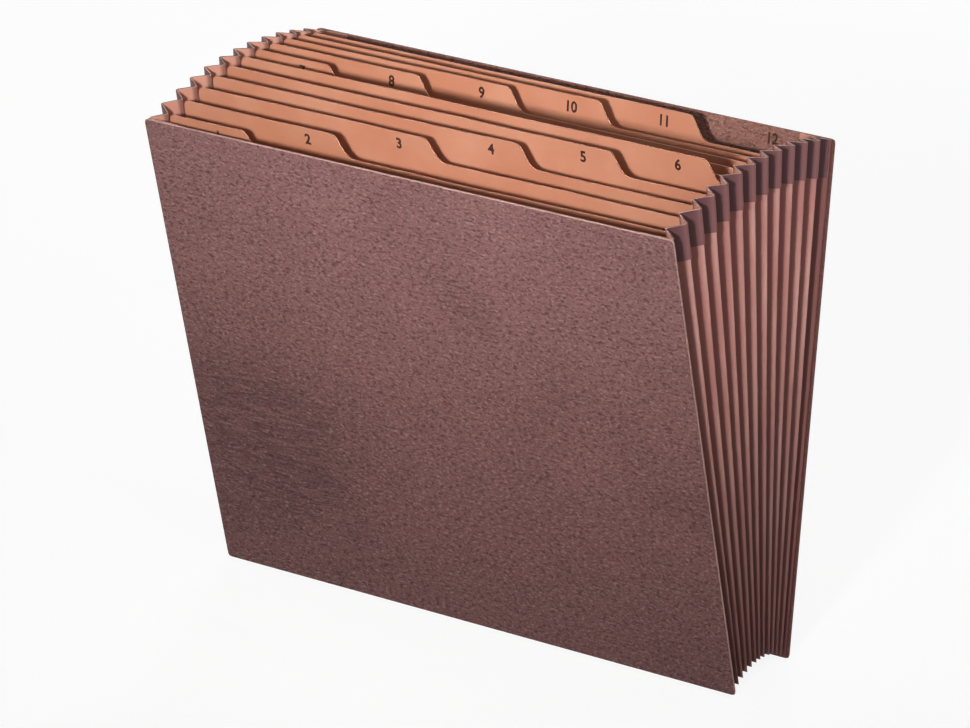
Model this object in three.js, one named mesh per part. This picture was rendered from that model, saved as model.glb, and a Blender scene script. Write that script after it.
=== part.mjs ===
// Expanding file: an open-topped twelve-pocket paper file, standing fanned open.
// Millimetres, +Z up, X across the file, Y from the front cover to the back cover.
// The origin is at the bottom centre of the box around the file.

import * as THREE from 'three';

// Overall sizes
const FILE_WIDTH = 305;
const FILE_HEIGHT = 265;
const POCKETS = 12;

// How far it stands open: depth at the foot, lean of each cover and the arch of the foot
const FOOT_DEPTH = 52;
const FRONT_LEAN = THREE.MathUtils.degToRad(13.8);
const BACK_LEAN = THREE.MathUtils.degToRad(7.3);
const FOOT_ARCH = 8;

// Thickness of each kind of board and paper
const COVER_BOARD = 1.4;
const DIVIDER_BOARD = 0.5;
const GUSSET_PAPER = 0.5;
const TAPE_CLOTH = 0.3;

// Gusset: flat width of one side of a pleat, and the strip glued to each cover
const PLEAT_LEG = 10.3;
const FLANGE_WIDTH = 18;
const FOLD_SETBACK = 0.9;

// Reinforcing tape over the top ends of the pleats
const TAPE_DROP = 19;

// Dividers: index tabs, and how far the low edge lies under the tabs' top
const TAB_TOP = 0;
const TAB_STEP = 12;
const FIRST_TAB_END = -96;
const TAB_PITCH = 45.3;
const TABS_IN_ROW = 6;
const TAB_CORNER = 3.5;
const TAB_SLOPE_RUN = 9;

// Rounded corners of the boards
const COVER_CORNER = 1.5;
const DIVIDER_CORNER = 3;

// Clearances: glued faces, and a board's edge in a fold
const GLUE_GAP = 0.3;
const TAPE_GAP = 0.25;
const FOLD_GAP = 0.4;

const CURVE_STEPS = 6;
const SIDE_STATIONS = 4;

const HALF_WIDTH = FILE_WIDTH / 2;
const HALF_FOLDS = 2 * POCKETS;

// The fan of walls. Wall 0 is the front end of the gusset and wall POCKETS its back end.
// The covers lie outside those two walls.
const FAN_ANGLE = FRONT_LEAN + BACK_LEAN;
const GUSSET_FOOT = FOOT_DEPTH - 2 * (COVER_BOARD + GLUE_GAP);

function wallLean(wall) {
  return -FRONT_LEAN + FAN_ANGLE * (wall / POCKETS);
}

function footY(wall) {
  return GUSSET_FOOT * (wall / POCKETS - 0.5);
}

function footZ(wall) {
  const fromMiddle = (2 * wall) / POCKETS - 1;
  return FOOT_ARCH * (1 - fromMiddle * fromMiddle);
}

// A point at a height up a wall, moved off it by an offset towards the back
function onWall(wall, x, height, offset = 0) {
  const lean = wallLean(wall);
  return new THREE.Vector3(
    x,
    footY(wall) + height * Math.sin(lean) + offset * Math.cos(lean),
    footZ(wall) + height * Math.cos(lean) - offset * Math.sin(lean),
  );
}

// Distance from an outward fold to the next inward fold, and the depth of that fold
function halfPitch(height) {
  return (GUSSET_FOOT + height * FAN_ANGLE) / HALF_FOLDS;
}

function foldDepth(height) {
  const pitch = halfPitch(height);
  return Math.sqrt(PLEAT_LEG * PLEAT_LEG - pitch * pitch);
}

// A flat board cut to an outline, standing in a wall. The outline's y runs up the wall.
function board(name, outline, thickness, wall, offset, look) {
  const geometry = new THREE.ExtrudeGeometry(outline, {
    depth: thickness,
    bevelEnabled: false,
    curveSegments: CURVE_STEPS,
  });
  geometry.translate(0, 0, -thickness / 2);
  const mesh = new THREE.Mesh(geometry, look);
  mesh.name = name;
  mesh.rotation.x = Math.PI / 2 - wallLean(wall);
  mesh.position.copy(onWall(wall, 0, 0, offset));
  return mesh;
}

function coverOutline() {
  const outline = new THREE.Shape();
  outline.moveTo(-HALF_WIDTH + COVER_CORNER, 0);
  outline.lineTo(HALF_WIDTH - COVER_CORNER, 0);
  outline.absarc(HALF_WIDTH - COVER_CORNER, COVER_CORNER, COVER_CORNER, -Math.PI / 2, 0, false);
  outline.lineTo(HALF_WIDTH, FILE_HEIGHT - COVER_CORNER);
  outline.absarc(
    HALF_WIDTH - COVER_CORNER, FILE_HEIGHT - COVER_CORNER, COVER_CORNER, 0, Math.PI / 2, false);
  outline.lineTo(-HALF_WIDTH + COVER_CORNER, FILE_HEIGHT);
  outline.absarc(
    -HALF_WIDTH + COVER_CORNER, FILE_HEIGHT - COVER_CORNER, COVER_CORNER,
    Math.PI / 2, Math.PI, false);
  outline.lineTo(-HALF_WIDTH, COVER_CORNER);
  outline.absarc(
    -HALF_WIDTH + COVER_CORNER, COVER_CORNER, COVER_CORNER, Math.PI, 1.5 * Math.PI, false);
  return outline;
}

// A cover leans outwards, so it is slid up its wall until its outer bottom edge is on the ground
function coverLift(wall) {
  return (COVER_BOARD + GLUE_GAP) * Math.tan(Math.abs(wallLean(wall)));
}

function cover(name, wall, outward, look) {
  const offset = outward * (COVER_BOARD / 2 + GLUE_GAP);
  const mesh = board(name, coverOutline(), COVER_BOARD, wall, offset, look);
  mesh.position.copy(onWall(wall, 0, coverLift(wall), offset));
  return mesh;
}

// Half the width of a divider at a height, with its edge clear of the inward fold
function dividerReach(height) {
  return HALF_WIDTH - FOLD_SETBACK - foldDepth(height) - GUSSET_PAPER / 2 - FOLD_GAP;
}

function dividerOutline(tabEnd) {
  const bottom = FOLD_SETBACK + foldDepth(0) + GUSSET_PAPER / 2 + FOLD_GAP;
  const top = FILE_HEIGHT + TAB_TOP;
  const low = top - TAB_STEP;
  const lowest = bottom + DIVIDER_CORNER;
  const heights = sideHeights().filter((height) => height > lowest && height < low);
  const outline = new THREE.Shape();
  outline.moveTo(-dividerReach(0) + DIVIDER_CORNER, bottom);
  outline.lineTo(dividerReach(0) - DIVIDER_CORNER, bottom);
  outline.lineTo(dividerReach(0), lowest);
  for (const height of [...heights].reverse()) {
    outline.lineTo(dividerReach(height), height);
  }
  outline.lineTo(dividerReach(low), low);
  outline.lineTo(tabEnd + TAB_SLOPE_RUN, low);
  outline.bezierCurveTo(
    tabEnd + TAB_SLOPE_RUN / 6, low,
    tabEnd + TAB_SLOPE_RUN / 9, top,
    tabEnd - TAB_CORNER, top);
  outline.lineTo(-dividerReach(top) + DIVIDER_CORNER, top);
  outline.lineTo(-dividerReach(top), top - DIVIDER_CORNER);
  for (const height of heights) {
    outline.lineTo(-dividerReach(height), height);
  }
  outline.lineTo(-dividerReach(0), lowest);
  outline.closePath();
  return outline;
}

function divider(number, look) {
  const place = (number - 1) % TABS_IN_ROW;
  const tabEnd = FIRST_TAB_END + TAB_PITCH * place;
  return board(`divider_${number}`, dividerOutline(tabEnd), DIVIDER_BOARD, number - 0.5, 0, look);
}

// Heights up the sides at which the pleats are set out, from the top edge down
function sideHeights() {
  const heights = [FILE_HEIGHT];
  const tapeFoot = FILE_HEIGHT - TAPE_DROP;
  for (let step = 0; step < SIDE_STATIONS; step += 1) {
    heights.push(tapeFoot * (1 - step / SIDE_STATIONS));
  }
  return heights;
}

// One side of the pleated paper: its middle line moved by a shift, towards the outside if
// it is negative. Each fold is blunt on its convex side and sharp on its concave side.
// A point is a wall, an offset from that wall and a depth in from the outward folds.
function pleatLine(height, shift, first, last) {
  const pitch = halfPitch(height);
  const depth = foldDepth(height);
  const blunt = (Math.abs(shift) * (PLEAT_LEG - pitch)) / depth;
  const sharp = (shift * PLEAT_LEG) / pitch;
  const points = [];
  for (let fold = first; fold <= last; fold += 1) {
    const wall = fold / 2;
    const outwardFold = fold % 2 === 0;
    const foldAt = outwardFold ? 0 : depth;
    const convex = outwardFold === shift < 0;
    if (convex) {
      points.push({ wall, offset: -blunt, depth: foldAt + shift });
      points.push({ wall, offset: blunt, depth: foldAt + shift });
    } else {
      points.push({ wall, offset: 0, depth: foldAt + sharp });
    }
  }
  return points;
}

// The cut through the gusset at a height: pleats, and at both ends a flange along the cover
function gussetSection(height) {
  const half = GUSSET_PAPER / 2;
  const outside = pleatLine(height, -half, 1, HALF_FOLDS - 1);
  const inside = pleatLine(height, half, 1, HALF_FOLDS - 1);
  const tip = -half;
  const crease = (half * PLEAT_LEG) / halfPitch(height);
  const front = 0;
  const back = POCKETS;
  return [
    { wall: front, offset: 0, depth: FLANGE_WIDTH },
    { wall: front, offset: 0, depth: tip },
    { wall: front, offset: GUSSET_PAPER, depth: tip },
    ...outside,
    { wall: back, offset: -GUSSET_PAPER, depth: tip },
    { wall: back, offset: 0, depth: tip },
    { wall: back, offset: 0, depth: FLANGE_WIDTH },
    { wall: back, offset: -GUSSET_PAPER, depth: FLANGE_WIDTH },
    { wall: back, offset: -GUSSET_PAPER, depth: crease },
    ...inside.reverse(),
    { wall: front, offset: GUSSET_PAPER, depth: crease },
    { wall: front, offset: GUSSET_PAPER, depth: FLANGE_WIDTH },
  ];
}

// The cut through a tape: it lies over the outside of the pleats, from cover to cover
function tapeSection(height) {
  const inner = -(GUSSET_PAPER / 2 + TAPE_GAP);
  const outer = inner - TAPE_CLOTH;
  const over = pleatLine(height, outer, 1, HALF_FOLDS - 1);
  const under = pleatLine(height, inner, 1, HALF_FOLDS - 1);
  const edge = GUSSET_PAPER + TAPE_GAP;
  return [
    { wall: 0, offset: edge, depth: outer },
    ...over,
    { wall: POCKETS, offset: -edge, depth: outer },
    { wall: POCKETS, offset: -edge, depth: inner },
    ...under.reverse(),
    { wall: 0, offset: edge, depth: inner },
  ];
}

// A closed skin through rings of points, with both end rings filled
function skin(rings, endFaces) {
  const count = rings[0].length;
  const positions = [];
  const faces = [];
  for (const ring of rings) {
    for (const point of ring) {
      positions.push(point.x, point.y, point.z);
    }
  }
  for (let ring = 0; ring + 1 < rings.length; ring += 1) {
    for (let here = 0; here < count; here += 1) {
      const next = (here + 1) % count;
      const a = ring * count + here;
      const b = ring * count + next;
      faces.push(a, b, a + count);
      faces.push(b, b + count, a + count);
    }
  }
  const lastRing = (rings.length - 1) * count;
  for (const [a, b, c] of endFaces) {
    faces.push(a, c, b);
    faces.push(lastRing + a, lastRing + b, lastRing + c);
  }
  const geometry = new THREE.BufferGeometry();
  geometry.setAttribute('position', new THREE.Float32BufferAttribute(positions, 3));
  geometry.setIndex(faces);
  geometry.computeVertexNormals();
  return geometry;
}

// Triangles that fill a section, drawn flat along the pleats
function sectionFaces(section, height) {
  const flat = section.map((point) => new THREE.Vector2(
    point.wall * 2 * halfPitch(height) + point.offset,
    point.depth,
  ));
  return THREE.ShapeUtils.triangulateShape(flat, []);
}

// Places a section on the left side (-1) or the right side (1) at a height
function sideRing(section, side, height) {
  return section.map((point) => onWall(
    point.wall, side * (HALF_WIDTH - FOLD_SETBACK - point.depth), height, point.offset));
}

// Places the bottom section in the mitre of a bottom corner
function cornerRing(section, side) {
  return section.map((point) => onWall(
    point.wall,
    side * (HALF_WIDTH - FOLD_SETBACK - point.depth),
    FOLD_SETBACK + point.depth,
    point.offset,
  ));
}

// The gusset is one pleated sheet that runs down the left side, under, and up the right side
function gusset(look) {
  const heights = sideHeights();
  const down = heights.map((height) => sideRing(gussetSection(height), -1, height));
  const up = heights.map((height) => sideRing(gussetSection(height), 1, height)).reverse();
  const corners = [cornerRing(gussetSection(0), -1), cornerRing(gussetSection(0), 1)];
  const faces = sectionFaces(gussetSection(FILE_HEIGHT), FILE_HEIGHT);
  const mesh = new THREE.Mesh(skin([...down, ...corners, ...up], faces), look);
  mesh.name = 'gusset';
  return mesh;
}

function tape(name, side, look) {
  const heights = [FILE_HEIGHT, FILE_HEIGHT - TAPE_DROP];
  if (side > 0) {
    heights.reverse();
  }
  const rings = heights.map((height) => sideRing(tapeSection(height), side, height));
  const faces = sectionFaces(tapeSection(heights[0]), heights[0]);
  const mesh = new THREE.Mesh(skin(rings, faces), look);
  mesh.name = name;
  return mesh;
}

const leatherBoard = new THREE.MeshStandardMaterial({ color: 0x7d5854, roughness: 0.6, metalness: 0 });
const insideBoard = new THREE.MeshStandardMaterial({ color: 0x6b4741, roughness: 0.65, metalness: 0 });
const redPaper = new THREE.MeshStandardMaterial({ color: 0x8f5a54, roughness: 0.75, metalness: 0 });
const darkTape = new THREE.MeshStandardMaterial({ color: 0x5a3a40, roughness: 0.7, metalness: 0 });
const tanCard = new THREE.MeshStandardMaterial({ color: 0xb87a5c, roughness: 0.8, metalness: 0 });

const fan = new THREE.Group();
fan.add(cover('front_cover', 0, -1, leatherBoard));
for (let number = 1; number < POCKETS; number += 1) {
  fan.add(divider(number, tanCard));
}
fan.add(cover('back_cover', POCKETS, 1, insideBoard));
fan.add(gusset(redPaper));
fan.add(tape('gusset_tape_left', -1, darkTape));
fan.add(tape('gusset_tape_right', 1, darkTape));

// The covers' top edges are the front and back of the box around the file
const outerFace = COVER_BOARD + GLUE_GAP;
const frontReach = onWall(0, 0, FILE_HEIGHT + coverLift(0), -outerFace).y;
const backReach = onWall(POCKETS, 0, FILE_HEIGHT + coverLift(POCKETS), outerFace).y;
fan.position.y = -(frontReach + backReach) / 2;

const expandingFile = new THREE.Group();
expandingFile.add(fan);

export default expandingFile;
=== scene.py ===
"""The looks of an open-topped expanding file that stands fanned open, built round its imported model."""

import math

import bmesh
import bpy
from bpy.props import FloatProperty, FloatVectorProperty, PointerProperty
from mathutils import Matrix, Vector


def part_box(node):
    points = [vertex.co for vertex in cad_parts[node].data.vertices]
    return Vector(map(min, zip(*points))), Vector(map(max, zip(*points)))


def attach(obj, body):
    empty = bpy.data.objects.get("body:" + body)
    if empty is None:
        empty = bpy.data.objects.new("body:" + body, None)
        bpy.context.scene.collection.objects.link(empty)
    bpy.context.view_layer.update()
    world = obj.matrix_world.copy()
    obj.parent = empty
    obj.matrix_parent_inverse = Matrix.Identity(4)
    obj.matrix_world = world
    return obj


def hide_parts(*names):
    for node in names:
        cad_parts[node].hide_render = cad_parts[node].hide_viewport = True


bl_info = {
    "name": "Expanding file",
    "version": (1, 0, 0),
    "blender": (4, 5, 0),
    "location": "3D View > Sidebar > Expanding file",
    "description": "Covers, pleated gusset, tapes and tabbed dividers of a paper file",
    "category": "Object",
}

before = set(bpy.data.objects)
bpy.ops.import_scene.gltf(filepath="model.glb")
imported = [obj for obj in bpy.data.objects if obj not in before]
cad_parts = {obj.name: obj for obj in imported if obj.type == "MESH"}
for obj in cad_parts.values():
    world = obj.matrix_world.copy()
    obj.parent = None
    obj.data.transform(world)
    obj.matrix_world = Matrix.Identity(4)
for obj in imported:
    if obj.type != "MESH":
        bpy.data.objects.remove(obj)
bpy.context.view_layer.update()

MM = 0.001

# The file's make-up
POCKETS = 12
TABS_IN_ROW = 6

# Thickness of each kind of board and paper
COVER_BOARD = 1.4 * MM
DIVIDER_BOARD = 0.5 * MM
GUSSET_PAPER = 0.5 * MM
TAPE_CLOTH = 0.3 * MM

# Gaps between glued faces, under the tape, and at a divider's edge in its fold
GLUE_GAP = 0.3 * MM
TAPE_GAP = 0.25 * MM
FOLD_GAP = 0.4 * MM

# Covers: clipped corners, rounded edges, the outermost lines of the mesh, and how fine it is
COVER_CORNER = 0.45 * MM
COVER_ROUNDING = 0.3 * MM
ROUNDING_STEPS = 2
COVER_EDGE_LINE = 2 * MM
COVER_COLUMNS = 24
COVER_ROWS = 22
ON_THE_EDGE = 0.1 * MM

# Gusset: strip glued to each cover, and how far its folds stay inside the covers' edges
FLANGE_WIDTH = 18 * MM
FOLD_SETBACK = 0.9 * MM
FLANGE_DEPTHS = (FLANGE_WIDTH, FLANGE_WIDTH / 2, 2 * MM, GUSSET_PAPER)
END_CLEARANCE = 1.2 * GUSSET_PAPER
FOLD_WANDER = 0.35 * MM
WANDER_PER_METRE = 9
SIDE_ROWS = 12
FOOT_ROWS = 10

# Places on the fan, counted in walls: how near a cover a fold counts as its end, where a tape starts,
# the step that a slope is measured over, and the mesh's lines over half a pleat
END_FOLD = 0.2
TAPE_START = 0.06
WALL_STEP = 0.004
PLEAT_STEPS = (0.0, 0.05, 0.12, 0.5, 0.88, 0.95)

# Tapes
TAPE_DROP = 19 * MM
TAPE_ROWS = 4

# Index tabs: their step, ends and pitch, and the rounded slope at each end
TAB_STEP = 12 * MM
FIRST_TAB_END = -96 * MM
TAB_PITCH = 45.3 * MM
TAB_CORNER = 3.5 * MM
TAB_SLOPE_RUN = 9 * MM
TAB_TOP_PULL = TAB_SLOPE_RUN / 9
TAB_FOOT_PULL = TAB_SLOPE_RUN / 6
TAB_CURVE_STEPS = 14

# Dividers: top corners, the lines of the mesh across and up, and how far apart the cards lie on the
# flat map, so that no two look alike
DIVIDER_CORNER = 3 * MM
CORNER_SHARES = (0.0, 0.12, 0.4)
DIVIDER_COLUMN = 9 * MM
DIVIDER_ROWS = (0.0, 0.12, 0.3, 0.5, 0.68, 0.82, 0.92, 1.0)
MAP_SPACING = 0.4

# Printed numbers
NUMBER_SIZE = 7.8 * MM
NUMBER_BOLDNESS = 0.24 * MM
NUMBER_NARROWING = 0.9
NUMBER_CURVE_STEPS = 5
NUMBER_BEFORE_TAB_END = 18 * MM
NUMBER_BELOW_TOP = 6.3 * MM
LAST_NUMBER_X = 118 * MM
INK_FILM = 0.03 * MM

# Where the covers are creased by handling and darkened round the creases with painted shade: left of the
# middle, and up from the bottom
HANDLED_AND_SHADED_PLACE = (112 * MM, 82 * MM)

# The flat map of a sheet, and where it lies on the folds: 1 on an outward fold, 0 in an inward one
SHEET_MAP = "sheet"
FOLD_CREST = "fold_wear"
NO_FOLD = 0.5

# Folds sharper than the first angle are shaded crisp, and board edges sharper than the second rounded
CRISP_ANGLE = math.radians(32)
ROUNDED_ANGLE = math.radians(60)

# Each lamp's place, what it points at, and its width, in metres
KEY_LAMP = ((0.5, -1.55, 0.73), (-0.03, 0.0, 0.33), 0.2)
TOP_LAMP = ((0.35, -0.1, 1.1), (0.0, 0.0, 0.2), 0.7)
RIGHT_LAMP = ((1.15, -0.54, 0.74), (0.0, 0.0, 0.15), 0.5)
LEFT_LAMP = ((-1.3, 0.1, 0.6), (0.0, 0.0, 0.15), 0.6)
BACK_LAMP = ((-0.9, 2.1, 1.0), (0.0, 0.0, 0.12), 0.9)
KEY_SPREAD = math.radians(32)

# Camera: where it looks, across and above the ground, its sensor in millimetres, and how far it sees
TARGET_X = -11.2 * MM
TARGET_HEIGHT = 129.4 * MM
SENSOR_WIDTH = 36.0
FARTHEST = 50.0

# Floor: half its side, how much light it throws back, and its white glow for the camera
FLOOR_REACH = 6.0
FLOOR_BOUNCE = (0.3, 0.3, 0.3, 1.0)
FLOOR_SHADE = (0.9, 0.9, 0.9, 1.0)
FLOOR_GLOW = 1.1
FLOOR_GLOW_SHARE = 0.8
WHITE = (1.0, 1.0, 1.0, 1.0)


# Settings in the sidebar


class FileSizes(bpy.types.PropertyGroup):
    """How wide, how tall and how far open the file stands"""

    width: FloatProperty(
        name="Width",
        description="Across the covers",
        default=2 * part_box("front_cover")[1][0],
        unit="LENGTH",
    )
    height: FloatProperty(
        name="Height",
        description="Along a cover, from its bottom edge to its top edge",
        default=265 * MM,
        unit="LENGTH",
    )
    foot_depth: FloatProperty(
        name="Foot depth",
        description="Between the covers' outer faces at the bottom",
        default=52 * MM,
        unit="LENGTH",
    )
    front_lean: FloatProperty(
        name="Front lean",
        description="How far the front cover leans forward",
        default=math.radians(13.8),
        subtype="ANGLE",
    )
    back_lean: FloatProperty(
        name="Back lean",
        description="How far the back cover leans back",
        default=math.radians(7.3),
        subtype="ANGLE",
    )
    foot_arch: FloatProperty(
        name="Foot arch",
        description="How far the middle of the bottom rises off the ground",
        default=8 * MM,
        unit="LENGTH",
    )
    pleat_leg: FloatProperty(
        name="Pleat leg",
        description="Flat width of one side of a pleat",
        default=10.3 * MM,
        unit="LENGTH",
    )
    fold_softness: FloatProperty(
        name="Fold softness",
        description="How round the pleats' folds are, from 0 for a knife edge",
        default=0.012,
        min=0.0005,
        max=0.2,
    )
    board_bow: FloatProperty(
        name="Board bow",
        description="How far a divider bows out of flat",
        default=0.9 * MM,
        unit="LENGTH",
    )


class FileColours(bpy.types.PropertyGroup):
    """Colours of the boards, papers and print"""

    leather: FloatVectorProperty(
        name="Leather grain",
        description="Body colour of the covers' grained faces",
        subtype="COLOR",
        default=(0.28, 0.12, 0.114),
    )
    leather_dark: FloatVectorProperty(
        name="Leather grain, pits",
        description="Colour in the pits of the grain",
        subtype="COLOR",
        default=(0.09, 0.033, 0.034),
    )
    leather_pale: FloatVectorProperty(
        name="Leather grain, tops",
        description="Colour of the rubbed tops of the grain",
        subtype="COLOR",
        default=(0.52, 0.33, 0.3),
    )
    cut_edge: FloatVectorProperty(
        name="Cut edge",
        description="Colour of a cut board edge",
        subtype="COLOR",
        default=(0.66, 0.42, 0.36),
    )
    inside: FloatVectorProperty(
        name="Inside of the covers",
        description="Colour of the covers' inner faces",
        subtype="COLOR",
        default=(0.33, 0.145, 0.105),
    )
    lining_dark: FloatVectorProperty(
        name="Inside of the covers, pits",
        description="Colour in the pits of the covers' inner faces",
        subtype="COLOR",
        default=(0.12, 0.042, 0.035),
    )
    card: FloatVectorProperty(
        name="Divider card",
        description="Colour of the dividers",
        subtype="COLOR",
        default=(0.5, 0.19, 0.105),
    )
    card_edge: FloatVectorProperty(
        name="Divider edge",
        description="Colour of the dividers' cut edges",
        subtype="COLOR",
        default=(0.72, 0.4, 0.27),
    )
    paper: FloatVectorProperty(
        name="Gusset paper",
        description="Colour of the gusset's outside",
        subtype="COLOR",
        default=(0.34, 0.118, 0.1),
    )
    # Pale colour of the outward folds: partly scuffing, partly painted highlight
    paper_worn: FloatVectorProperty(
        name="Gusset folds",
        description="Colour of the rubbed outward folds",
        subtype="COLOR",
        default=(0.68, 0.42, 0.37),
    )
    paper_inside: FloatVectorProperty(
        name="Gusset inside",
        description="Colour of the gusset's inside",
        subtype="COLOR",
        default=(0.5, 0.225, 0.165),
    )
    tape: FloatVectorProperty(
        name="Tape",
        description="Colour of the tapes over the pleats",
        subtype="COLOR",
        default=(0.085, 0.03, 0.034),
    )
    ink: FloatVectorProperty(
        name="Ink",
        description="Colour of the printed numbers",
        subtype="COLOR",
        default=(0.045, 0.018, 0.012),
    )


class StageSettings(bpy.types.PropertyGroup):
    """Camera and lamps"""

    azimuth: FloatProperty(
        name="Azimuth",
        description="Camera's angle to the right of the front cover",
        default=math.radians(33.585),
        subtype="ANGLE",
    )
    elevation: FloatProperty(
        name="Elevation",
        description="Camera's angle above the ground",
        default=math.radians(22.042),
        subtype="ANGLE",
    )
    distance: FloatProperty(
        name="Distance",
        description="From the camera to the point that it looks at",
        default=2.891,
        unit="LENGTH",
    )
    lens: FloatProperty(
        name="Lens",
        description="Focal length in millimetres on a 36 mm sensor",
        default=215.6,
    )
    key_power: FloatProperty(
        name="Key lamp",
        description="Power of the compact lamp in front of the file",
        default=1.12,
        unit="POWER",
    )
    top_power: FloatProperty(
        name="Top lamp",
        description="Power of the wide soft lamp above the file",
        default=0.88,
        unit="POWER",
    )
    right_power: FloatProperty(
        name="Right lamp",
        description="Power of the soft lamp that fills the pleats on the right",
        default=3.0,
        unit="POWER",
    )
    left_power: FloatProperty(
        name="Left lamp",
        description="Power of the soft lamp on the left",
        default=2.4,
        unit="POWER",
    )
    back_power: FloatProperty(
        name="Back lamp",
        description="Power of the soft lamp behind the file",
        default=15.0,
        unit="POWER",
    )
    sky_level: FloatProperty(
        name="Sky level",
        description="Brightness of the even light from all round",
        default=0.09,
    )


class FileSettings(bpy.types.PropertyGroup):
    """All settings of the expanding file"""

    sizes: PointerProperty(type=FileSizes)
    colours: PointerProperty(type=FileColours)
    stage: PointerProperty(type=StageSettings)


# The fan of walls


class Fan:
    """The walls of the standing file. Wall 0 is the gusset's front end and wall 12 its back end."""

    def __init__(self, sizes):
        self.half_width = sizes.width / 2
        self.height = sizes.height
        self.front_lean = sizes.front_lean
        self.angle = sizes.front_lean + sizes.back_lean
        self.arch = sizes.foot_arch
        self.leg = sizes.pleat_leg
        self.softness = sizes.fold_softness
        self.foot = sizes.foot_depth - 2 * (COVER_BOARD + GLUE_GAP)
        self.middle = 0.0
        outer_face = COVER_BOARD + GLUE_GAP
        top_edge = self.point(0, 0, self.height + self.cover_lift(0), -outer_face)
        self.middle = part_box("front_cover")[0][1] - top_edge.y

    def lean(self, wall):
        """A wall's angle back from upright."""
        return self.angle * wall / POCKETS - self.front_lean

    def point(self, wall, x, height, offset=0.0):
        """A point at a height up a wall, moved off it by an offset towards the back."""
        lean = self.lean(wall)
        share = wall / POCKETS
        y = self.middle + self.foot * (share - 0.5)
        z = self.arch * (1 - (2 * share - 1) ** 2)
        return Vector((
            x,
            y + height * math.sin(lean) + offset * math.cos(lean),
            z + height * math.cos(lean) - offset * math.sin(lean),
        ))

    def cover_lift(self, wall):
        """How far a cover is slid up its wall so that its outer bottom edge is on the ground."""
        return (COVER_BOARD + GLUE_GAP) * math.tan(abs(self.lean(wall)))

    def half_pitch(self, height):
        """From an outward fold to the next inward fold."""
        return (self.foot + height * self.angle) / (2 * POCKETS)

    def fold_depth(self, height):
        """How deep the pleats are, from outward folds to inward ones."""
        return math.sqrt(self.leg ** 2 - self.half_pitch(height) ** 2)

    def pleat(self, wall, height, shift=0.0):
        """Offset from a wall and depth of the pleated paper there, moved by a shift to its inside."""
        pitch = 2 * self.half_pitch(height)
        depth = self.pleat_depth(wall, height)
        rise = self.pleat_depth(wall + WALL_STEP, height) - self.pleat_depth(wall - WALL_STEP, height)
        run = 2 * WALL_STEP * pitch
        length = math.hypot(run, rise)
        return -shift * rise / length, depth + shift * run / length

    def pleat_depth(self, wall, height):
        """How far in from the outward folds the paper is. The zigzag's points are rounded."""
        rounded = math.acos((1 - self.softness) * math.cos(2 * math.pi * wall)) / math.pi
        return self.fold_depth(height) * rounded

    def divider_reach(self, height):
        """Half the width of a divider at a height, with its edge clear of the inward fold."""
        return self.half_width - FOLD_SETBACK - self.fold_depth(height) - GUSSET_PAPER / 2 - FOLD_GAP


def wander(seed, place):
    """A smooth, repeatable wobble between about -1 and 1."""
    first = math.sin(2.1 * place + 1.7 * seed)
    second = math.sin(5.3 * place + 4.1 * seed + 0.6)
    return 0.65 * first + 0.35 * second


# Shader nodes as sums


class Value:
    """A node's output that can be used in a sum as a number is."""

    def __init__(self, surface, socket):
        self.surface = surface
        self.socket = socket

    def math(self, operation, first, second):
        return self.surface.node("ShaderNodeMath", {"operation": operation}, {0: first, 1: second})

    def __add__(self, other):
        return self.math("ADD", self, other)

    def __radd__(self, other):
        return self.math("ADD", other, self)

    def __sub__(self, other):
        return self.math("SUBTRACT", self, other)

    def __rsub__(self, other):
        return self.math("SUBTRACT", other, self)

    def __mul__(self, other):
        return self.math("MULTIPLY", self, other)

    def __rmul__(self, other):
        return self.math("MULTIPLY", other, self)

    def __pow__(self, other):
        return self.math("POWER", self, other)

    def most(self, other):
        """The greater of the two."""
        return self.math("MAXIMUM", self, other)

    def size(self):
        """The value without its sign."""
        return self.math("ABSOLUTE", self, 0.0)


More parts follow.
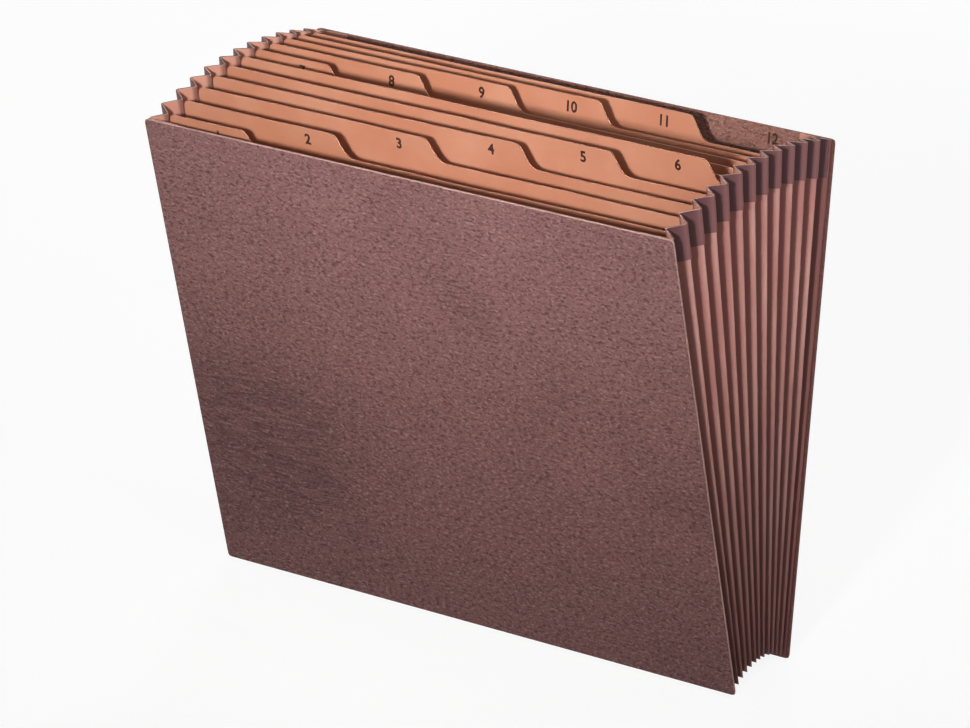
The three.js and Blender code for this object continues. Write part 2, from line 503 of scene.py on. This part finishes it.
class Surface:
    """A material and the nodes in it."""

    def __init__(self, name, roughness, specular):
        self.material = bpy.data.materials.new(name)
        self.material.use_nodes = True
        self.tree = self.material.node_tree
        self.shader = self.tree.nodes["Principled BSDF"]
        self.shader.inputs["Roughness"].default_value = roughness
        self.shader.inputs["Specular IOR Level"].default_value = specular

    def put(self, socket, value):
        """Links or sets a socket."""
        if isinstance(value, Value):
            self.tree.links.new(value.socket, socket)
        elif hasattr(value, "__len__") and len(value) == 3 and socket.type == "RGBA":
            socket.default_value = (*value, 1.0)
        else:
            socket.default_value = value

    def node(self, kind, settings=None, inputs=None, output=0):
        """A node of a type, with its settings, the values or links of its inputs, and one output."""
        made = self.tree.nodes.new(kind)
        for key, value in (settings or {}).items():
            setattr(made, key, value)
        for key, value in (inputs or {}).items():
            self.put(made.inputs[key], value)
        return Value(self, made.outputs[output])

    def sheet_place(self, stretch=(1.0, 1.0, 1.0), turn=0.0):
        """The place on the flat sheet in metres, stretched and turned."""
        flat = self.node("ShaderNodeUVMap", {"uv_map": SHEET_MAP})
        return self.node("ShaderNodeMapping", None, {
            "Vector": flat, "Scale": stretch, "Rotation": (0.0, 0.0, turn)})

    def sheet_axis(self, axis):
        """One of the flat sheet's two directions, in metres."""
        flat = self.node("ShaderNodeUVMap", {"uv_map": SHEET_MAP})
        return self.node("ShaderNodeSeparateXYZ", None, {0: flat}, output=axis)

    def sheet_wear(self):
        """Where the sheet lies on the folds: 1 on an outward fold, 0 in an inward one."""
        return self.node("ShaderNodeAttribute", {"attribute_name": FOLD_CREST}, output=2)

    def object_place(self):
        """The place in the object's own coordinates."""
        return self.node("ShaderNodeTexCoord", output=3)

    def noise(self, place, scale, detail=2.0, roughness=0.5, distortion=0.0):
        """Clouds, about as many to the metre as the scale."""
        return self.node("ShaderNodeTexNoise", None, {
            "Vector": place, "Scale": scale, "Detail": detail,
            "Roughness": roughness, "Distortion": distortion})

    def lines(self, noise, outer, inner):
        """Thin lines where a noise crosses its middle value."""
        return self.between((noise - 0.5).size(), outer, inner)

    def between(self, value, low, high):
        """0 at low, 1 at high and smooth between them. Low may be the greater of the two."""
        return self.node("ShaderNodeMapRange", {"interpolation_type": "SMOOTHSTEP"}, {
            "Value": value, "From Min": low, "From Max": high})

    def blend(self, factor, first, second):
        """One colour fading into another."""
        return self.node(
            "ShaderNodeMix", {"data_type": "RGBA"}, {0: factor, 6: first, 7: second}, output=2)

    def bump(self, height, distance, strength):
        """A normal that makes a height look raised by a distance."""
        return self.node("ShaderNodeBump", None, {
            "Height": height, "Distance": distance, "Strength": strength})

    def finish(self, colour, normal, roughness=None):
        """Links what varies over the surface to the shader, and gives the material."""
        self.put(self.shader.inputs["Base Color"], colour)
        self.put(self.shader.inputs["Normal"], normal)
        if roughness is not None:
            self.put(self.shader.inputs["Roughness"], roughness)
        return self.material


def leather_board(name, body, dark, pale, rim=0.0):
    """Grained cover board: small pits, scuffed tops, a fine net of lines, and creases from handling with
    painted shade round them.
    Painted light makes it paler towards the top, and painted shade darker towards the bottom. The rim
    darkens the board along its sides."""
    surface = Surface(name, roughness=0.55, specular=0.22)
    flat = surface.sheet_place()
    grain = surface.sheet_place(stretch=(1.0, 1.6, 1.0))
    lengthwise = surface.sheet_place(stretch=(1.0, 7.0, 1.0), turn=0.08)
    across = surface.sheet_axis(0)
    up = surface.sheet_axis(1)

    pits = surface.noise(grain, scale=410.0, roughness=0.6, distortion=0.6)
    pits = surface.between(pits, 0.5, 0.68)
    net = surface.noise(grain, scale=350.0, distortion=1.6)
    net = surface.lines(net, 0.05, 0.005)
    tops = surface.noise(grain, scale=490.0, roughness=0.55, distortion=0.5)
    tops = surface.between(tops, 0.48, 0.7)
    tint = surface.between(surface.noise(flat, scale=30.0, detail=4.0, roughness=0.65), 0.3, 0.7)
    mottle = surface.noise(grain, scale=130.0, detail=3.0, roughness=0.6)

    handled_and_shaded = ((across + HANDLED_AND_SHADED_PLACE[0]) ** 2.0 + (up - HANDLED_AND_SHADED_PLACE[1]) ** 2.0) ** 0.5
    creased = surface.between(handled_and_shaded, 70 * MM, 25 * MM)
    # Painted shade: the board is darker round the creased spot
    handled_and_shaded = surface.between(handled_and_shaded, 110 * MM, 20 * MM)
    patches = surface.between(surface.noise(flat, scale=7.0), 0.5, 0.66) * 0.6
    crease = surface.lines(surface.noise(lengthwise, scale=42.0, distortion=1.0), 0.07, 0.01)
    wrinkle = crease * patches.most(creased)
    # Painted light makes the board paler towards the top, towards the pale grain colour, and painted shade
    # makes it darker towards the bottom
    painted_top_light = surface.between(up, 110 * MM, 250 * MM) * 0.11
    painted_low_shade = surface.between(up, 170 * MM, 20 * MM) * 0.12

    base = surface.blend(painted_top_light, body, pale)
    base = surface.blend(tint * 0.16 + mottle * 0.25 + handled_and_shaded * 0.16 + painted_low_shade, base, dark)
    base = surface.blend(tops * 0.48, base, pale)
    base = surface.blend(net * 0.22 + wrinkle * 0.55, base, dark)
    base = surface.blend(pits * 0.66, base, dark)
    if rim:
        edge = surface.between(across.size(), rim - 2.5 * MM, rim - 1.5 * MM)
        base = surface.blend(edge * 0.85, base, dark)
    height = tops * 0.6 - pits - net * 0.3 - wrinkle * 1.8
    return surface.finish(base, surface.bump(height, 0.45 * MM, 0.8), 0.48 + pits * 0.3)


def smooth_card(name, colour, pale, dark):
    """Calendered card with faint fibres, a few lighter rubs, and a dark line of painted shade in an inward
    fold.
    """
    surface = Surface(name, roughness=0.6, specular=0.35)
    flat = surface.sheet_place()
    crest = surface.sheet_wear()
    fibre = surface.noise(
        surface.sheet_place(stretch=(1.0, 5.0, 1.0)), scale=700.0, detail=3.0, roughness=0.6)
    cloud = surface.noise(flat, scale=22.0, detail=3.0, roughness=0.55)
    fleck = surface.between(surface.noise(flat, scale=900.0, detail=1.0), 0.66, 0.8)
    # Painted shade darkens the card in an inward fold
    fold_shade = surface.between(crest, 0.3, 0.02) * 0.75
    base = surface.blend(surface.between(cloud, 0.3, 0.75) * 0.3, colour, pale)
    base = surface.blend(fibre * 0.18 + fleck * 0.2, base, pale)
    base = surface.blend(fold_shade, base, dark)
    return surface.finish(base, surface.bump(fibre + fleck, 0.04 * MM, 0.5), 0.52 + cloud * 0.2)


def cut_board(name, colour, dark):
    """A cut edge, where the layers of the board show as fine lines."""
    surface = Surface(name, roughness=0.75, specular=0.3)
    layers = surface.noise(surface.object_place(), scale=900.0, detail=3.0, roughness=0.6)
    base = surface.blend(surface.between(layers, 0.35, 0.75) * 0.5, colour, dark)
    return surface.finish(base, surface.bump(layers, 0.05 * MM, 0.5))


def pleated_paper(name, colour, scuff_and_highlight, dark, fan):
    """Gusset paper, pale along the outward folds from scuffing and painted highlight, and darker beside
    the covers and at the foot with painted shade.
    """
    surface = Surface(name, roughness=0.62, specular=0.25)
    crest = surface.sheet_wear()
    # Painted shade: the paper is darker beside the covers and towards the foot
    half_span = POCKETS * fan.leg
    beside = (surface.sheet_axis(0) - half_span).size()
    beside = surface.between(beside, half_span - 10 * MM, half_span - 4 * MM) * 0.6
    foot = (surface.sheet_axis(1) - 1.5 * fan.height).size()
    foot = surface.between(foot, 1.35 * fan.height, 0.5 * fan.height) * 0.72
    fibre = surface.noise(
        surface.sheet_place(stretch=(5.0, 1.0, 1.0)), scale=500.0, detail=3.0, roughness=0.6)
    patches = surface.noise(surface.sheet_place(stretch=(8.0, 1.0, 1.0)), scale=16.0, detail=3.0)
    # Paler along the outward folds: partly scuffing, partly painted highlight
    rub_and_highlight = (crest ** 5.0) * (0.2 + surface.between(patches, 0.35, 0.7) * 0.4)
    base = surface.blend(rub_and_highlight, colour, scuff_and_highlight)
    base = surface.blend(fibre * 0.16, base, scuff_and_highlight)
    base = surface.blend(beside.most(foot), base, dark)
    return surface.finish(base, surface.bump(fibre, 0.05 * MM, 0.5), 0.55 + fibre * 0.15)


def cloth_tape(name, colour, scuff_and_highlight):
    """Dark woven tape with a fine thread pattern, paler along the outward folds from scuffing and painted
    highlight.
    """
    surface = Surface(name, roughness=0.58, specular=0.4)
    crest = surface.sheet_wear()
    warp = surface.noise(surface.sheet_place(stretch=(14.0, 1.0, 1.0)), scale=260.0, detail=1.0)
    weft = surface.noise(surface.sheet_place(stretch=(1.0, 14.0, 1.0)), scale=260.0, detail=1.0)
    thread = warp * 0.5 + weft * 0.5
    # Paler along the outward folds: partly scuffing, partly painted highlight
    base = surface.blend(thread * 0.2 + (crest ** 5.0) * 0.5, colour, scuff_and_highlight)
    return surface.finish(base, surface.bump(thread, 0.08 * MM, 0.6), 0.5 + thread * 0.2)


def printed_ink(name, colour):
    """Flat ink, a little thin in places."""
    surface = Surface(name, roughness=0.45, specular=0.4)
    film = surface.noise(surface.object_place(), scale=1500.0)
    thin = tuple(3 * part for part in colour)
    base = surface.blend(surface.between(film, 0.5, 0.9) * 0.4, colour, thin)
    return surface.finish(base, surface.bump(film, 0.01 * MM, 0.4))


# Meshes


def settle(piece):
    """Applies the piece's modifiers, smooths its faces and keeps its edges crisp."""
    bpy.context.view_layer.update()
    finished = bpy.data.meshes.new_from_object(
        piece.evaluated_get(bpy.context.evaluated_depsgraph_get()))
    rough_mesh = piece.data
    piece.modifiers.clear()
    piece.data = finished
    bpy.data.meshes.remove(rough_mesh)
    finished.name = piece.name
    for face in finished.polygons:
        face.use_smooth = True
    finished.set_sharp_from_angle(angle=CRISP_ANGLE)


def keep(piece, slot, *nodes):
    """The piece belongs to the file and stands for nodes of the model, which it hides. The slot is not
    used.
    """
    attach(piece, "root")
    if nodes:
        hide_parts(*nodes)


def sheet(name, columns, rows, place, looks, thickness, rounding=0.0):
    """A thin sheet. A rule puts each crossing of a column and a row in its place on the sheet, and
    gives its point, its flat place and its place on the folds. The looks are front, back and cut edge."""
    mesh = bmesh.new()
    flat = mesh.loops.layers.uv.new(SHEET_MAP)
    crest = mesh.verts.layers.float.new(FOLD_CREST)
    last_column = len(columns) - 1
    last_row = len(rows) - 1
    bmesh.ops.create_grid(mesh, x_segments=last_column, y_segments=last_row, size=1.0)
    if len(mesh.verts) != len(columns) * len(rows):
        raise RuntimeError(f"{name}: the grid has {len(mesh.verts)} corners")
    places = {}
    for vert in mesh.verts:
        column = columns[round((vert.co.x + 1) / 2 * last_column)]
        row = rows[round((vert.co.y + 1) / 2 * last_row)]
        vert.co, places[vert], vert[crest] = place(column, row)
    for face in mesh.faces:
        for loop in face.loops:
            loop[flat].uv = places[loop.vert]
    data = bpy.data.meshes.new(name)
    mesh.to_mesh(data)
    mesh.free()
    piece = bpy.data.objects.new(name, data)
    bpy.context.scene.collection.objects.link(piece)
    for look in looks:
        data.materials.append(look)
    solid = piece.modifiers.new("board", "SOLIDIFY")
    solid.thickness = thickness
    solid.offset = 0.0
    solid.material_offset = 1
    solid.material_offset_rim = 2
    if rounding:
        soft = piece.modifiers.new("soft edges", "BEVEL")
        soft.width = rounding
        soft.segments = ROUNDING_STEPS
        soft.angle_limit = ROUNDED_ANGLE
    settle(piece)
    return piece


def spread(first, last, count):
    """Values from first to last in a count of even steps."""
    return [first + (last - first) * step / count for step in range(count + 1)]


def cover(fan, name, wall, outward, looks):
    """A flat board outside the first or last wall, with its corners clipped."""
    offset = outward * (COVER_BOARD / 2 + GLUE_GAP)
    lift = fan.cover_lift(wall)

    def place(x, height):
        at_side = abs(x) > fan.half_width - ON_THE_EDGE
        at_end = height < ON_THE_EDGE or height > fan.height - ON_THE_EDGE
        nip = COVER_CORNER if at_side and at_end else 0.0
        inward = 1 if height < fan.height / 2 else -1
        x_cut = x - math.copysign(nip, x)
        point = fan.point(wall, x_cut, lift + height + inward * nip, offset)
        return point, (x, height), NO_FOLD

    last_line = fan.half_width - COVER_EDGE_LINE
    columns = [-fan.half_width, *spread(-last_line, last_line, COVER_COLUMNS), fan.half_width]
    rows = [0.0, *spread(COVER_EDGE_LINE, fan.height - COVER_EDGE_LINE, COVER_ROWS), fan.height]
    return sheet(name, columns, rows, place, looks, COVER_BOARD, COVER_ROUNDING)


def tab_curve(tab_end, top, low):
    """Points down the tab's rounded end, from the tab's top edge to the low edge."""
    ends = (
        Vector((tab_end - TAB_CORNER, top)),
        Vector((tab_end + TAB_TOP_PULL, top)),
        Vector((tab_end + TAB_FOOT_PULL, low)),
        Vector((tab_end + TAB_SLOPE_RUN, low)),
    )
    points = []
    for step in range(TAB_CURVE_STEPS + 1):
        along = step / TAB_CURVE_STEPS
        left = 1 - along
        shares = (left ** 3, 3 * along * left ** 2, 3 * along * along * left, along ** 3)
        points.append(sum((share * end for share, end in zip(shares, ends)), Vector((0, 0))))
    return points


def divider_bow(fan, number, bow, x, height):
    """How far a divider stands off its wall: it is held in its folds and bows between them."""
    across = math.cos(math.pi * x / (2 * fan.half_width))
    up = (height / fan.height) ** 1.5
    side = 0.7 * math.sin(2.4 * number)
    ripple = 0.5 * wander(number, 3 * x / fan.half_width)
    return bow * across * up * (side + ripple)


def tab_end_of(number):
    """How far right a divider's tab reaches."""
    return FIRST_TAB_END + TAB_PITCH * ((number - 1) % TABS_IN_ROW)


def divider(fan, number, bow, looks):
    """A divider card. It is high up to its tab's end, and low from there on."""
    bottom = FOLD_SETBACK + fan.fold_depth(0) + GUSSET_PAPER / 2 + FOLD_GAP
    top = fan.height
    low = top - TAB_STEP
    slope = tab_curve(tab_end_of(number), top, low)
    edge = fan.divider_reach(top)
    left_end = slope[0].x
    right_start = slope[-1].x
    left_columns = max(2, round((left_end + edge) / DIVIDER_COLUMN))
    right_columns = max(2, round((edge - right_start) / DIVIDER_COLUMN))
    columns = []
    for share in CORNER_SHARES:
        drop = 1 - math.sqrt(1 - (1 - share) ** 2)
        columns.append((-edge + share * DIVIDER_CORNER, top - drop * DIVIDER_CORNER))
    columns += [(x, top) for x in spread(-edge + DIVIDER_CORNER, left_end, left_columns)[:-1]]
    columns += [(point.x, point.y) for point in slope]
    columns += [(x, low) for x in spread(right_start, edge, right_columns)[1:]]

    def place(column, row):
        x_top, top_here = column
        height = bottom + row * (top_here - bottom)
        x = x_top * fan.divider_reach(height) / edge
        point = fan.point(number - 0.5, x, height, divider_bow(fan, number, bow, x, height))
        return point, (x + MAP_SPACING * number, height), NO_FOLD

    return sheet(f"divider_card_{number}", columns, DIVIDER_ROWS, place, looks, DIVIDER_BOARD)


def gusset_path(fan, row, depth):
    """The sheet's way down the left side, under the file and up the right side.
    Row runs from 0 to 3, with the bottom corners at 1 and 2."""
    side_x = fan.half_width - FOLD_SETBACK - depth
    corner_height = FOLD_SETBACK + depth
    if row <= 1:
        return -side_x, fan.height - row * (fan.height - corner_height)
    if row >= 2:
        return side_x, fan.height - (3 - row) * (fan.height - corner_height)
    return side_x * (2 * row - 3), corner_height


def end_clearance(wall):
    """Keeps the first and last side of the pleats off the flanges glued to the covers."""
    if wall < 0.5:
        return END_CLEARANCE * (1 - 2 * wall)
    if wall > POCKETS - 0.5:
        return -END_CLEARANCE * (1 - 2 * (POCKETS - wall))
    return 0.0


def pleat_columns(first, last):
    """Walls at which the pleats are set out, closer together near each fold."""
    columns = [(half_wall + step) / 2 for half_wall in range(2 * POCKETS) for step in PLEAT_STEPS]
    return [wall for wall in columns + [float(POCKETS)] if first <= wall <= last]


def fold_wear(wall):
    """1 on an outward fold, 0 in an inward one, and neither where the sheet turns in under a cover."""
    if wall < END_FOLD or wall > POCKETS - END_FOLD:
        return NO_FOLD
    return 0.5 + 0.5 * math.cos(2 * math.pi * wall)


def fold_wander(wall, height):
    """Outward folds wander a little, and inward ones are held by the dividers."""
    loose = fold_wear(wall) if 0.5 < wall < POCKETS - 0.5 else 0.0
    return FOLD_WANDER * loose * wander(round(wall), WANDER_PER_METRE * height)


def gusset(fan, looks):
    """One folded sheet: a flange, twelve pleats and a flange, running down, under and up again."""
    flange_offset = GUSSET_PAPER / 2
    sides = spread(0.0, 1.0, SIDE_ROWS)
    rows = sides + spread(1.0, 2.0, FOOT_ROWS)[1:] + [2 + share for share in sides[1:]]
    columns = [("front", depth) for depth in FLANGE_DEPTHS]
    columns += [("pleat", wall) for wall in pleat_columns(0.0, POCKETS)]
    columns += [("back", depth) for depth in reversed(FLANGE_DEPTHS)]

    def place(column, row):
        part, where = column
        if part == "pleat":
            outer_height = gusset_path(fan, row, 0.0)[1]
            offset, depth = fan.pleat(where, outer_height)
            x, height = gusset_path(fan, row, depth)
            offset += end_clearance(where) + fold_wander(where, height)
            flat = (where * 2 * fan.leg, row * fan.height)
            return fan.point(where, x, height, offset), flat, fold_wear(where)
        wall = 0 if part == "front" else POCKETS
        side = 1 if part == "front" else -1
        x, height = gusset_path(fan, row, where)
        flat = (-where * side + wall * 2 * fan.leg, row * fan.height)
        return fan.point(wall, x, height, side * flange_offset), flat, NO_FOLD

    return sheet("pleated_gusset", columns, rows, place, looks, GUSSET_PAPER)


def tape(fan, name, side, looks):
    """A cloth tape over the outside of the pleats' top ends, on the left (-1) or the right (1)."""
    shift = -(GUSSET_PAPER / 2 + TAPE_GAP + TAPE_CLOTH / 2)
    end = POCKETS - TAPE_START
    inner = [wall for wall in pleat_columns(TAPE_START, end) if wall > TAPE_START]
    columns = [TAPE_START, *inner, end]
    rows = spread(fan.height, fan.height - TAPE_DROP, TAPE_ROWS)
    if side > 0:
        rows.reverse()

    def place(wall, height):
        offset, depth = fan.pleat(wall, height, shift)
        offset += end_clearance(wall) + fold_wander(wall, height)
        x = side * (fan.half_width - FOLD_SETBACK - depth)
        return fan.point(wall, x, height, offset), (wall * 2 * fan.leg, height), fold_wear(wall)

    return sheet(name, columns, rows, place, looks, TAPE_CLOTH)


def number(name, words, place, look):
    """A printed number. A rule puts each point of the flat figure on the board's face."""
    curve = bpy.data.curves.new(name, "FONT")
    curve.body = words
    curve.align_x = "CENTER"
    curve.align_y = "CENTER"
    curve.size = NUMBER_SIZE
    curve.offset = NUMBER_BOLDNESS
    curve.extrude = INK_FILM / 2
    curve.resolution_u = NUMBER_CURVE_STEPS
    text = bpy.data.objects.new(name, curve)
    bpy.context.scene.collection.objects.link(text)
    bpy.context.view_layer.update()
    depsgraph = bpy.context.evaluated_depsgraph_get()
    data = bpy.data.meshes.new_from_object(text.evaluated_get(depsgraph))
    bpy.data.objects.remove(text)
    for vert in data.vertices:
        vert.co = place(vert.co.x * NUMBER_NARROWING, vert.co.y, vert.co.z)
    data.name = name
    data.materials.clear()
    data.materials.append(look)
    piece = bpy.data.objects.new(name, data)
    bpy.context.scene.collection.objects.link(piece)
    return piece


# Operators


class MakeCovers(bpy.types.Operator):
    """Makes the front and back cover boards"""

    bl_idname = "expanding_file.covers"
    bl_label = "Covers"

    def execute(self, context):
        settings = context.scene.expanding_file
        fan = Fan(settings.sizes)
        colours = settings.colours
        grain = leather_board(
            "cover_grain", colours.leather, colours.leather_dark, colours.leather_pale)
        lining = leather_board(
            "cover_lining", colours.inside, colours.lining_dark, colours.leather_pale,
            rim=fan.half_width)
        edge = cut_board("cover_cut_edge", colours.cut_edge, colours.leather)
        dark_edge = cut_board("cover_dark_edge", colours.leather, colours.leather_dark)
        front = cover(fan, "front_cover_board", 0, -1, (grain, lining, edge))
        back = cover(fan, "back_cover_board", POCKETS, 1, (lining, grain, dark_edge))
        keep(front, "cover_board", "front_cover")
        keep(back, "cover_board", "back_cover")
        return {"FINISHED"}


class MakeDividers(bpy.types.Operator):
    """Makes the tabbed dividers between the pockets"""

    bl_idname = "expanding_file.dividers"
    bl_label = "Dividers"

    def execute(self, context):
        settings = context.scene.expanding_file
        fan = Fan(settings.sizes)
        colours = settings.colours
        card = smooth_card("divider_card", colours.card, colours.card_edge, colours.lining_dark)
        edge = cut_board("divider_cut_edge", colours.card_edge, colours.card)
        for pocket in range(1, POCKETS):
            piece = divider(fan, pocket, settings.sizes.board_bow, (card, card, edge))
            keep(piece, "divider_card", f"divider_{pocket}")
        return {"FINISHED"}


class MakeGusset(bpy.types.Operator):
    """Makes the pleated gusset and the tapes over its top ends"""

    bl_idname = "expanding_file.gusset"
    bl_label = "Gusset and tapes"

    def execute(self, context):
        settings = context.scene.expanding_file
        fan = Fan(settings.sizes)
        colours = settings.colours
        # The leather's pit colour is also the colour of the gusset paper's painted shade
        paper = pleated_paper(
            "gusset_paper", colours.paper, colours.paper_worn, colours.leather_dark, fan)
        # The lining's inward folds are darkened with painted shade in the colour of the pits on the
        # covers' inner faces
        lining = smooth_card(
            "gusset_lining", colours.paper_inside, colours.card_edge, colours.lining_dark)
        edge = cut_board("gusset_cut_edge", colours.cut_edge, colours.paper)
        keep(gusset(fan, (paper, lining, edge)), "gusset_paper", "gusset")
        # The tape's outward folds are paled towards the leather colour, partly scuffing and partly painted
        # highlight
        cloth = cloth_tape("tape_cloth", colours.tape, colours.leather)
        for name, side in (("left", -1), ("right", 1)):
            piece = tape(fan, f"pleat_tape_{name}", side, (cloth, cloth, cloth))
            keep(piece, "gusset_tape", f"gusset_tape_{name}")
        return {"FINISHED"}


class MakeNumbers(bpy.types.Operator):
    """Prints plain pocket numbers on the tabs and on the back cover"""

    bl_idname = "expanding_file.numbers"
    bl_label = "Numbers"

    def execute(self, context):
        settings = context.scene.expanding_file
        fan = Fan(settings.sizes)
        ink = printed_ink("number_ink", settings.colours.ink)
        middle_height = fan.height - NUMBER_BELOW_TOP
        for pocket in range(1, POCKETS):
            middle_x = tab_end_of(pocket) - NUMBER_BEFORE_TAB_END

            def on_tab(x, y, film, pocket=pocket, middle_x=middle_x):
                across = middle_x + x
                height = middle_height + y
                bow = divider_bow(fan, pocket, settings.sizes.board_bow, across, height)
                offset = bow - DIVIDER_BOARD / 2 - INK_FILM - film
                return fan.point(pocket - 0.5, across, height, offset)

            keep(number(f"tab_number_{pocket}", str(pocket), on_tab, ink), "divider_card")

        def on_cover(x, y, film):
            height = middle_height + y + fan.cover_lift(POCKETS)
            return fan.point(POCKETS, LAST_NUMBER_X + x, height, GLUE_GAP - INK_FILM - film)

        keep(number(f"cover_number_{POCKETS}", str(POCKETS), on_cover, ink), "cover_board")
        return {"FINISHED"}


def soft_lamp(name, lamp_place, power, opening=math.pi):
    """A round lamp. The opening is the angle of its cone, all round in front unless given."""
    spot, target, width = lamp_place
    lamp = bpy.data.lights.new(name, "AREA")
    lamp.spread = opening
    lamp.shape = "DISK"
    lamp.size = width
    lamp.energy = power
    holder = bpy.data.objects.new(name, lamp)
    holder.location = spot
    holder.rotation_euler = (Vector(target) - Vector(spot)).to_track_quat("-Z", "Y").to_euler()
    holder.visible_camera = False
    bpy.context.scene.collection.objects.link(holder)


def backdrop_mix(tree, lit):
    """White for the camera and in reflections, and the lit shader for all other light."""
    rays = tree.nodes.new("ShaderNodeLightPath")
    seen = rays.outputs["Is Camera Ray"]
    for kind in ("Is Glossy Ray", "Is Transmission Ray"):
        either = tree.nodes.new("ShaderNodeMath")
        either.operation = "MAXIMUM"
        tree.links.new(seen, either.inputs[0])
        tree.links.new(rays.outputs[kind], either.inputs[1])
        seen = either.outputs[0]
    mix = tree.nodes.new("ShaderNodeMixShader")
    tree.links.new(seen, mix.inputs[0])
    tree.links.new(lit, mix.inputs[1])
    return mix


def white_world(level):
    """Even light from all round, seen by the camera as plain white."""
    world = bpy.data.worlds.new("studio")
    bpy.context.scene.world = world
    world.use_nodes = True
    tree = world.node_tree
    tree.nodes.clear()
    sky = tree.nodes.new("ShaderNodeBackground")
    sky.inputs["Strength"].default_value = level
    white = tree.nodes.new("ShaderNodeBackground")
    mix = backdrop_mix(tree, sky.outputs[0])
    tree.links.new(white.outputs[0], mix.inputs[2])
    out = tree.nodes.new("ShaderNodeOutputWorld")
    tree.links.new(mix.outputs[0], out.inputs["Surface"])
    for background in (sky, white):
        background.inputs["Color"].default_value = WHITE


def pale_floor():
    """A plain floor, nearly white to the camera, that keeps the file's shadow."""
    mesh = bmesh.new()
    bmesh.ops.create_grid(mesh, x_segments=1, y_segments=1, size=FLOOR_REACH)
    data = bpy.data.meshes.new("floor")
    mesh.to_mesh(data)
    mesh.free()
    floor = bpy.data.objects.new("floor", data)
    bpy.context.scene.collection.objects.link(floor)
    material = bpy.data.materials.new("pale_floor")
    material.use_nodes = True
    tree = material.node_tree
    tree.nodes.clear()
    lit = tree.nodes.new("ShaderNodeBsdfDiffuse")
    lit.inputs["Color"].default_value = FLOOR_BOUNCE
    shaded = tree.nodes.new("ShaderNodeBsdfDiffuse")
    shaded.inputs["Color"].default_value = FLOOR_SHADE
    glow = tree.nodes.new("ShaderNodeEmission")
    glow.inputs["Strength"].default_value = FLOOR_GLOW
    glowing = tree.nodes.new("ShaderNodeMixShader")
    glowing.inputs[0].default_value = FLOOR_GLOW_SHARE
    tree.links.new(shaded.outputs[0], glowing.inputs[1])
    tree.links.new(glow.outputs[0], glowing.inputs[2])
    mix = backdrop_mix(tree, lit.outputs[0])
    tree.links.new(glowing.outputs[0], mix.inputs[2])
    out = tree.nodes.new("ShaderNodeOutputMaterial")
    tree.links.new(mix.outputs[0], out.inputs["Surface"])
    data.materials.append(material)


class MakeStage(bpy.types.Operator):
    """Makes the camera, the lamps and the pale floor"""

    bl_idname = "expanding_file.stage"
    bl_label = "Stage"

    def execute(self, context):
        settings = context.scene.expanding_file
        stage = settings.stage
        fan = Fan(settings.sizes)
        target = Vector((TARGET_X, fan.middle, TARGET_HEIGHT))
        away = Vector((
            math.sin(stage.azimuth) * math.cos(stage.elevation),
            -math.cos(stage.azimuth) * math.cos(stage.elevation),
            math.sin(stage.elevation),
        ))
        lens = bpy.data.cameras.new("camera")
        lens.sensor_width = SENSOR_WIDTH
        lens.lens = stage.lens
        lens.clip_end = FARTHEST
        camera = bpy.data.objects.new("camera", lens)
        camera.location = target + stage.distance * away
        camera.rotation_euler = (-away).to_track_quat("-Z", "Y").to_euler()
        context.scene.collection.objects.link(camera)
        context.scene.camera = camera
        soft_lamp("key_lamp", KEY_LAMP, stage.key_power, KEY_SPREAD)
        soft_lamp("top_lamp", TOP_LAMP, stage.top_power)
        soft_lamp("right_lamp", RIGHT_LAMP, stage.right_power)
        soft_lamp("left_lamp", LEFT_LAMP, stage.left_power)
        soft_lamp("back_lamp", BACK_LAMP, stage.back_power)
        white_world(stage.sky_level)
        pale_floor()
        context.scene.view_settings.view_transform = "Standard"
        return {"FINISHED"}


class FilePanel(bpy.types.Panel):
    """The expanding file's buttons in the sidebar"""

    bl_idname = "VIEW3D_PT_expanding_file"
    bl_label = "Expanding file"
    bl_space_type = "VIEW_3D"
    bl_region_type = "UI"
    bl_category = "Expanding file"

    def draw(self, context):
        for step in STEPS:
            self.layout.operator(step.bl_idname)
        settings = context.scene.expanding_file
        for group in (settings.sizes, settings.colours, settings.stage):
            box = self.layout.box()
            for key in group.__annotations__:
                box.prop(group, key)


STEPS = (MakeStage, MakeCovers, MakeDividers, MakeGusset, MakeNumbers)
CLASSES = (FileSizes, FileColours, StageSettings, FileSettings, *STEPS, FilePanel)


def register():
    """Adds the settings, the operators and the panel."""
    for kind in CLASSES:
        bpy.utils.register_class(kind)
    bpy.types.Scene.expanding_file = PointerProperty(type=FileSettings)


def unregister():
    """Takes them away again."""
    del bpy.types.Scene.expanding_file
    for kind in reversed(CLASSES):
        bpy.utils.unregister_class(kind)


def main():
    """Makes the file in the scene."""
    register()
    bpy.ops.expanding_file.stage()
    bpy.ops.expanding_file.covers()
    bpy.ops.expanding_file.dividers()
    bpy.ops.expanding_file.gusset()
    bpy.ops.expanding_file.numbers()


if __name__ == "__main__":
    main()
